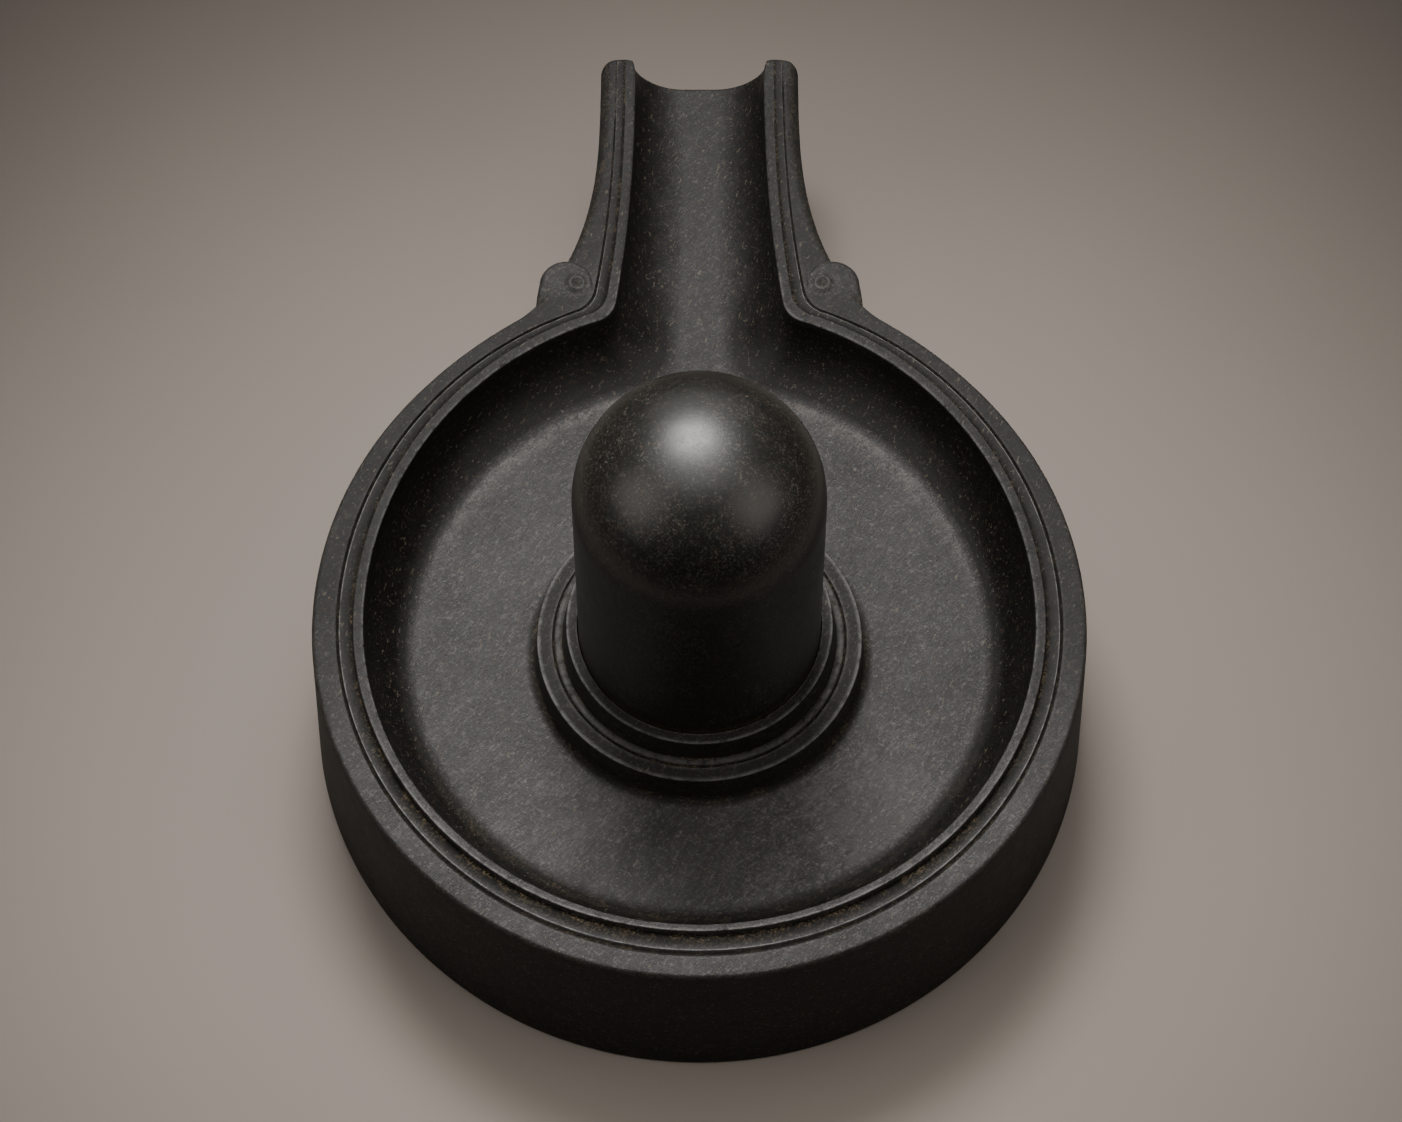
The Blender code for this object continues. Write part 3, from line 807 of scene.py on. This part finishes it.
def carveKnob(side):
    # the top gets an eye with a dimple, and a faint curl that winds out of it
    b = basin
    carving = turnedCarving(list(knobRows()), b["steps"]["knob"])
    eye = Vector((-side * b["eyeShift"], 0))
    for index, place in enumerate(carving.points):
        x, y, z = leadIntoDrum(*place)
        if place[2] > rimZ + b["knobCrown"] - b["knobRadius"] * 0.1:
            offset = Vector((x, y)) - eye
            away = offset.length
            angle = atan2(offset.y, -side * offset.x) % (2 * pi)
            ring = b["eyeRise"] * exp(-((away - b["eyeRadius"]) / b["eyeWidth"]) ** 2)
            dimple = b["eyeRise"] * 1.4 * exp(-(away / b["dimpleWidth"]) ** 2)
            curl = b["eyeRadius"] * 1.4 + b["curlGrowth"] * angle / (2 * pi)
            fade = ease((2 * pi - angle) / b["curlFade"])
            cut = b["curlDepth"] * exp(-((away - curl) / b["curlWidth"]) ** 2) * fade
            z += ring - dimple - cut
            # grime and painted shade darken the dimple and the curl's cut; the eye's ring is painted
            # pale as a highlight
            dirtAndShade = min(0.8, 900 * (dimple + cut))
            carving.marks[index] = (0.2 * ring / b["eyeRise"], dirtAndShade, 0.0, 0.0, 0.55)
        carving.points[index] = (x, y, z)
    return carving


def joinKnobs(base, sources):
    # the scrolls become one stone with the drum
    b = basin
    for side, label in ((1, "right"), (-1, "left")):
        carving = carveKnob(side)
        tool = carving.toObject("knob_" + label)
        place = (side * b["knobSpacing"] / 2, b["radius"] + b["knobOut"], 0)
        tool.data.transform(Matrix.Translation(place))
        roughen(tool, carving.marks, b["ripple"], b["ripple"], 0)
        places, marks = [], []
        for vertex, mark in zip(tool.data.vertices, carving.marks):
            if vertex.co.z > rimZ - 0.0004:  # only the top
                places.append(vertex.co.copy())
                marks.append(mark)
        sources.append((places, marks))
        union = base.modifiers.new("join_" + label, "BOOLEAN")
        union.operation = "UNION"
        union.object = tool
        evaluated = base.evaluated_get(bpy.context.evaluated_depsgraph_get())
        mesh = bpy.data.meshes.new_from_object(evaluated)
        base.modifiers.clear()
        base.data = mesh
        bpy.data.objects.remove(tool)


def makeBasin(material):
    carving = carveBasin()
    base = carving.toObject("yoni_basin")
    roughen(base, carving.marks, basin["sway"], basin["ripple"], basin["chip"])
    sources = [([v.co.copy() for v in base.data.vertices], carving.marks)]
    joinKnobs(base, sources)
    paintMarks(base, sources)
    finishPiece(base, "yoni_base", material, basin["sharpAngle"])
    return base


# Everything of the lingam that a user would change
lingamStone = {
    "radius": 0.050,
    "height": 0.1563,
    "socketDepth": 0.010,
    "seatGap": 0.0003,
    "chamfer": 0.0010,
    "domePower": 2.12,  # 2 would be a half sphere
    "shoulderHazeAndSheen": 0.2,  # dust and painted sheen at the dome's foot, as a share of that on its top
    "seamDirt": 0.0012,  # how far the dirt at the seam reaches up
    "sway": 0.00010,
    "sides": 176,
    "shaftRows": 60,
    "domeRows": 48,
}

# The socket in the collar takes the lingam's foot
socketRadius = lingamStone["radius"] + lingamStone["seatGap"]
socketZ = innerRingZ - lingamStone["socketDepth"]


def lingamRows():
    # dust and painted sheen from above haze the dome, paler towards its top, and a little dirt lies
    # round the seam at the foot
    stone = lingamStone
    radius, power, hazeAndSheen = stone["radius"], 2 / stone["domePower"], stone["shoulderHazeAndSheen"]
    foot = socketZ + stone["seatGap"]
    apex = innerRingZ + stone["height"]
    shoulder = apex - radius
    yield from ((0, foot, 0, 0), (radius * 0.6, foot, 0, 0), (radius - stone["chamfer"], foot, 0, 0))
    for step in range(stone["shaftRows"] + 1):
        z = mix(foot + stone["chamfer"], shoulder, step / stone["shaftRows"])
        dirtAndShade = exp(-max(0.0, z - innerRingZ) / stone["seamDirt"])
        yield radius, z, hazeAndSheen * ease((z - shoulder + 0.03) / 0.04), dirtAndShade
    for step in range(1, stone["domeRows"]):
        turn = quarter(step, stone["domeRows"])
        yield (radius * cos(turn) ** power, shoulder + radius * sin(turn) ** power,
               mix(hazeAndSheen, 1, ease(turn * 0.9)), 0)
    yield 0, apex, 1, 0


def makeLingam(material):
    carving = turnedCarving(list(lingamRows()), lingamStone["sides"])
    carving.points = [(x, y + basin["collarShift"], z) for x, y, z in carving.points]
    lingam = carving.toObject("lingam_stone")
    roughen(lingam, carving.marks, lingamStone["sway"], 0, 0)
    paintMarks(lingam, [([v.co.copy() for v in lingam.data.vertices], carving.marks)])
    finishPiece(lingam, "lingam_shaft", material)
    return lingam


class Wire:
    # a value in a material; arithmetic on it adds Math nodes
    def __init__(self, sheet, socket):
        self.sheet, self.socket = sheet, socket

    def __add__(self, other):
        return self.sheet.maths("ADD", self, other)

    __radd__ = __add__

    def __mul__(self, other):
        return self.sheet.maths("MULTIPLY", self, other)

    __rmul__ = __mul__

    def __sub__(self, other):
        return self.sheet.maths("SUBTRACT", self, other)

    def __rsub__(self, other):
        return self.sheet.maths("SUBTRACT", other, self)


class Sheet:
    # one material under construction
    def __init__(self, name):
        self.material = bpy.data.materials.new(name)
        self.material.use_nodes = True
        self.tree = self.material.node_tree
        self.tree.nodes.clear()
        self.place = self.put("ShaderNodeTexCoord", output="Object")

    def put(self, kind, settings=None, sockets=None, output=0):
        node = self.tree.nodes.new(kind)
        for name, value in (settings or {}).items():
            setattr(node, name, value)
        for name, value in (sockets or {}).items():
            if isinstance(value, Wire):
                self.tree.links.new(value.socket, node.inputs[name])
            else:
                node.inputs[name].default_value = value
        return Wire(self, node.outputs[output])

    def maths(self, operation, *values):
        return self.put("ShaderNodeMath", {"operation": operation}, dict(enumerate(values)))

    def clamp(self, value):
        settings = {"operation": "MULTIPLY", "use_clamp": True}
        return self.put("ShaderNodeMath", settings, {0: value, 1: 1.0})

    def stretch(self, value, low, high):
        # 0 at low and below, 1 at high and above, with soft ends
        return self.put("ShaderNodeMapRange", {"interpolation_type": "SMOOTHSTEP"}, {
            "Value": value, "From Min": low, "From Max": high})

    def grain(self, size, detail=2.0, roughness=0.5, distortion=0.0, where=None):
        return self.put("ShaderNodeTexNoise", None, {
            "Vector": where or self.place, "Scale": 1 / size, "Detail": detail,
            "Roughness": roughness, "Distortion": distortion})

    def grains(self, sizes, cloudPlace=None):
        # clouds, mottling and specks
        details = ((3.0, 0.6, 0.0, cloudPlace), (4.0, 0.65), (3.0, 0.7))
        return [self.grain(size, *detail) for size, detail in zip(sizes, details)]

    def blendColour(self, share, first, second):
        def colour(value):
            return value if isinstance(value, Wire) else (*value, 1)
        return self.put("ShaderNodeMix", {"data_type": "RGBA"}, {
            0: share, 6: colour(first), 7: colour(second)}, output=2)

    def layered(self, colour, layers, shares):
        for name, (tone, strength) in layers.items():
            colour = self.blendColour(shares[name] * strength, colour, tone)
        return colour

    def painted(self, name):
        return self.put("ShaderNodeAttribute", {"attribute_name": name}, output="Fac")

    def moved(self, offset, scale=(1, 1, 1)):
        return self.put("ShaderNodeMapping", None, {
            "Vector": self.place, "Location": offset, "Scale": scale})

    def drawnOut(self, turn, length, offset=(0, 0, 0)):
        # places in a frame turned about +Z, in which patterns are drawn out along its X
        return self.put("ShaderNodeMapping", {"vector_type": "TEXTURE"}, {
            "Vector": self.place, "Location": offset,
            "Rotation": (0, 0, turn), "Scale": (length, 1, 1)})

    def strokes(self, size, turn, offset=(0, 0, 0)):
        # short curly tool strokes, 0 to 1
        field = self.grain(size, 2.0, 0.55, 1.3, self.drawnOut(turn, 2.6, offset))
        return self.stretch(field, 0.36, 0.66)

    def curls(self, size, width, offset):
        # short curved lines: contours of a noise, broken up by a second one
        field = self.grain(size, 1.0, 0.4, 0.9, self.moved(offset))
        line = 1 - self.stretch(self.maths("ABSOLUTE", field - 0.5), 0.0, width)
        breaks = self.grain(size * 0.8, 1.0, where=self.moved(offset, (1.3, 1.3, 1.3)))
        return line * self.stretch(breaks, 0.46, 0.60)

    def spots(self, size, offset, low, high, detail=1.0, roughness=0.5):
        # scattered spots, 1 in their middle and 0 between them
        return self.stretch(self.grain(size, detail, roughness, where=self.moved(offset)), low, high)

    def finish(self, colour, roughness, height, distance, sheen):
        bump = self.put("ShaderNodeBump", None, {"Height": height, "Distance": distance})
        shader = self.put("ShaderNodeBsdfPrincipled", None, {
            "Base Color": colour, "Roughness": roughness, "Normal": bump, "Specular IOR Level": sheen})
        output = self.tree.nodes.new("ShaderNodeOutputMaterial")
        self.tree.links.new(shader.socket, output.inputs["Surface"])
        return self.material


honedLook = {
    "dark": (0.0050, 0.0047, 0.0037),
    "light": (0.0088, 0.0082, 0.0068),
    "filmAndSheen": (0.074, 0.0695, 0.070),  # the grey bloom on faces that look up, which is also painted sheen
    "layers": {  # over the stone, the lowest first: colour and how strongly it shows
        "strokes": ((0.140, 0.133, 0.131), 1.0),
        "rust": ((0.085, 0.048, 0.030), 0.20),
        "dashes": ((0.170, 0.140, 0.095), 0.34),
        "dots": ((0.230, 0.205, 0.185), 0.18),
        "silt": ((0.230, 0.205, 0.185), 0.45),
        # grime and painted shade: the bare dark stone colour laid over the bloom where the mark lies
        "dirtAndShade": ((0.0050, 0.0047, 0.0037), 0.9),
        "flecks": ((0.172, 0.124, 0.070), 0.55),
        # painted highlight on the edges, partly wear
        "worn": ((0.420, 0.410, 0.400), 0.40),
    },
    "grains": (0.045, 0.0065, 0.0010),  # clouds, mottling and specks
    "strokes": (0.0012, 0.0009, 0.011),  # one way, the other way and broad sweeps
    # surface
    "roughness": 0.53,
    "bareRoughness": 0.17,  # added where there is no bloom
    "rubbed": 0.30,  # taken off on the hollow walls
    "sheen": 0.30,
    "bump": 0.00030,
}


def honedStone():
    look = honedLook
    sheet = Sheet("honedStone")
    worn, grime = sheet.painted("worn"), sheet.painted("grime")
    silt, markedBloomAndSheen = sheet.painted("silt"), sheet.painted("bloom")
    bloom = sheet.maths("MAXIMUM", markedBloomAndSheen, 0.0)
    smooth = sheet.clamp(-1 * markedBloomAndSheen)  # below 0 the stone is bare and rubbed smooth
    cloud, mottle, speck = sheet.grains(look["grains"])
    # tool strokes lie both ways across the stone
    oneWay, otherWay, broad = look["strokes"]
    strokes = sheet.strokes(oneWay, 0.75)
    crossStrokes = sheet.strokes(otherWay, -0.55, (0.3, 0.1, 0.2))
    sweep = sheet.grain(broad, 3.0, 0.6, 1.2, sheet.drawnOut(0.8, 2.5))
    cut = strokes * 0.55 + crossStrokes * 0.45
    dots = sheet.spots(0.0016, (2, 5, 3), 0.67, 0.76)
    dashed = sheet.grain(0.0011, 1.0, 0.5, 0.8, sheet.drawnOut(1.1, 2.6, (2, 5, 3)))
    dashes = sheet.stretch(dashed, 0.65, 0.74)
    rust = sheet.spots(0.0024, (9, 4, 6), 0.58, 0.70, 3.0, 0.6)
    # the stone itself, then the bloom and painted sheen over it and the strokes through the bloom
    shade = sheet.stretch(mottle + (cloud - 0.5) * 0.7 + (speck - 0.5) * 0.8, 0.30, 0.75)
    body = sheet.blendColour(shade, look["dark"], look["light"])
    thinning = sheet.stretch(cloud * 0.6 + mottle * 0.4, 0.18, 0.66)
    cover = sheet.clamp(bloom * (0.28 + 0.48 * cut) * (0.25 + sweep * 1.5) * thinning)
    colour = sheet.blendColour(cover, body, look["filmAndSheen"])
    ridges = sheet.clamp((cut - 0.66) * 4)
    crust = sheet.clamp(silt * sheet.stretch(speck * 0.5 + mottle * 0.5 + cut * 0.06, 0.44, 0.62))
    # grime and painted shade: darker where it lies, with ochre flecks of dirt in it
    dirtAndShade = sheet.clamp(grime * sheet.spots(0.012, (5, 2, 1), 0.38, 0.60, 3.0, 0.7))
    flecks = sheet.clamp(dirtAndShade * sheet.stretch(speck * 0.6 + cut * 0.25, 0.38, 0.56))
    # wear on the edges, painted paler as highlights; it also smooths the stone
    rub = sheet.clamp(worn * sheet.spots(0.0045, (1, 8, 3), 0.25, 0.60, 3.0, 0.7))
    colour = sheet.layered(colour, look["layers"], {
        "strokes": ridges * (0.03 + bloom * 0.27), "rust": rust, "dashes": dashes, "dots": dots,
        "silt": crust, "dirtAndShade": grime, "flecks": flecks, "worn": rub})
    bare = (1 - sheet.clamp(bloom)) * look["bareRoughness"] - smooth * look["rubbed"]
    roughness = sheet.clamp(look["roughness"] + bare + (mottle - 0.5) * 0.25
                            + grime * 0.30 - rub * 0.22)
    height = mottle * 0.30 + speck * 0.20 + cut * (0.12 + bloom * 0.26) - dots * 0.2
    return sheet.finish(colour, roughness, height, look["bump"], look["sheen"])


polishLook = {
    "dark": (0.0030, 0.0028, 0.0022),
    "light": (0.0050, 0.0047, 0.0040),
    "hazeAndSheen": (0.0155, 0.0144, 0.0120),  # dust and painted sheen on the dome
    "layers": {  # over the stone, the lowest first: colour and how strongly it shows
        "flecks": ((0.140, 0.132, 0.104), 1.0),
        "rust": ((0.075, 0.042, 0.026), 1.0),
        "seam": ((0.172, 0.124, 0.070), 0.30),
    },
    "grains": (0.026, 0.0055, 0.0010),  # clouds, mottling and specks
    # surface
    "roughness": 0.375,
    "sheen": 0.62,
    "bump": 0.00007,
}


def polishedStone():
    look = polishLook
    sheet = Sheet("polishedStone")
    grime, hazeAndSheen = sheet.painted("grime"), sheet.painted("worn")  # on the lingam this mark is dust and painted sheen
    cloud, mottle, speck = sheet.grains(look["grains"], sheet.moved((0.4, 2.1, 3.3)))
    patches = sheet.stretch(cloud + (mottle - 0.5) * 0.6, 0.40, 0.62)
    ridges = sheet.clamp(sheet.curls(0.0025, 0.050, (3.1, 1.7, 0.4))
                         + sheet.curls(0.0015, 0.060, (0.2, 0.5, 0.9)))
    dots = sheet.spots(0.0013, (2, 5, 3), 0.64, 0.74)
    rust = sheet.spots(0.0023, (9, 4, 6), 0.61, 0.72, 2.0, 0.6)
    # the stone itself, the dust and painted sheen over it, then pale flecks and specks of rust
    shade = sheet.stretch(mottle + (speck - 0.5) * 0.7, 0.30, 0.78)
    body = sheet.blendColour(shade, look["dark"], look["light"])
    body = sheet.blendColour(hazeAndSheen * (0.35 + mottle * 0.7), body, look["hazeAndSheen"])
    flecks = sheet.clamp(ridges * (0.18 - hazeAndSheen * 0.09 + patches * 0.22)
                         + dots * (0.08 + hazeAndSheen * 0.08 + patches * 0.20))
    colour = sheet.layered(body, look["layers"], {
        "flecks": flecks, "rust": rust * (0.15 + patches * 0.35), "seam": grime})
    roughness = sheet.clamp(look["roughness"] + (mottle - 0.5) * 0.16 + (cloud - 0.5) * 0.12
                            + flecks * 0.2)
    height = mottle * 0.35 + speck * 0.25 + ridges * 0.15
    return sheet.finish(colour, roughness, height, look["bump"], look["sheen"])


cameraSetup = {
    "place": (0.00064, -0.8362, 1.7406),
    "pitch": 62.48,  # degrees below level
    "lens": 115.55,
    "sensor": 36.0,
}


def makeCamera():
    camera = newObject("camera", bpy.data.cameras.new("camera"))
    camera.location = cameraSetup["place"]
    camera.rotation_euler = (radians(90 - cameraSetup["pitch"]), 0, 0)
    camera.data.lens = cameraSetup["lens"]
    camera.data.sensor_width = cameraSetup["sensor"]
    bpy.context.scene.camera = camera


studio = {
    "floorTone": (0.278, 0.242, 0.212),
    "floorPaintedShade": (0.050, 0.041, 0.034),
    "floorSize": 3.0,
    "floorRoughness": 0.75,
    "floorGrain": 0.002,
    "floorBump": 0.00002,
    "floorSheen": 0.2,
    "paintedPoolCentre": (0.0, -0.05, 0.0),
    "paintedPoolReach": (0.14, 0.61),  # painted pool of light: the floor is painted darker between these distances from its centre
    "paintedFrontShadeReach": (0.225, 0.40),  # and painted darker between these distances in front
    "air": (0.95, 0.98, 1.0),
    "airStrength": 0.012,
    # each one: the place it points at, direction from there, distance, width, depth, watts,
    # spread in degrees, colour
    "lamps": {
        "key": ((0, -0.06, 0.06), (-0.070, 0.480, 0.872), 1.5, 0.54, 0.46, 4.2, 80, (1, 0.985, 0.97)),
        "sky": ((0, -0.04, 0.06), (-0.01, 0.20, 0.98), 1.5, 1.80, 1.50, 4.9, 95, (1, 0.985, 0.97)),
        "backPanel": ((0, 0, 0.15), (0, 0.90, 0.43), 1.6, 1.70, 0.70, 1.5, 120, (1, 0.985, 0.97)),
        "leftPanel": ((0, 0, 0.15), (-0.80, -0.25, 0.55), 1.4, 1.00, 1.00, 3.0, 140, (1, 0.95, 0.90)),
        "rightPanel": ((0, 0, 0.15), (0.77, -0.33, 0.55), 1.4, 1.00, 1.00, 2.9, 140, (1, 0.93, 0.87)),
    },
}


def makeStudio():
    half = studio["floorSize"] / 2
    mesh = bpy.data.meshes.new("floor")
    corners = [(-half, -half, 0), (half, -half, 0), (half, half, 0), (-half, half, 0)]
    mesh.from_pydata(corners, [], [(0, 1, 2, 3)])
    floor = newObject("floor", mesh)
    sheet = Sheet("paleFloor")
    # the floor is painted as a pool of light: darker away from its centre and in front
    centre = [-c for c in studio["paintedPoolCentre"]]
    away = sheet.put("ShaderNodeVectorMath", {"operation": "LENGTH"},
                     {0: sheet.moved(centre)}, output="Value")
    front = -1 * sheet.put("ShaderNodeSeparateXYZ", None, {"Vector": sheet.place}, output="Y")
    shade = sheet.clamp(sheet.stretch(away, *studio["paintedPoolReach"])
                        + sheet.stretch(front, *studio["paintedFrontShadeReach"])
                        + (sheet.grain(0.25, 2.0, 0.5) - 0.5) * 0.08)
    tone = sheet.blendColour(shade, studio["floorTone"], studio["floorPaintedShade"])
    mesh.materials.append(sheet.finish(tone, studio["floorRoughness"], sheet.grain(studio["floorGrain"]),
                                       studio["floorBump"], studio["floorSheen"]))
    world = bpy.data.worlds.new("studioAir")
    world.use_nodes = True
    background = world.node_tree.nodes["Background"]
    background.inputs["Color"].default_value = (*studio["air"], 1)
    background.inputs["Strength"].default_value = studio["airStrength"]
    bpy.context.scene.world = world
    for name, values in studio["lamps"].items():
        aim, direction, distance, width, depth, watts, spread, colour = values
        lamp = bpy.data.lights.new(name, "AREA")
        lamp.shape = "RECTANGLE"
        lamp.size, lamp.size_y = width, depth
        lamp.energy = watts
        lamp.spread = radians(spread)
        lamp.color = colour
        holder = newObject(name, lamp)
        way = Vector(direction).normalized()
        holder.location = Vector(aim) + way * distance
        holder.rotation_euler = way.to_track_quat("Z", "Y").to_euler()


makeCamera()
print("camera set")
base = makeBasin(honedStone())
print("basin carved:", len(base.data.polygons), "faces")
lingam = makeLingam(polishedStone())
print("lingam turned:", len(lingam.data.polygons), "faces")
makeStudio()
print("studio lit")
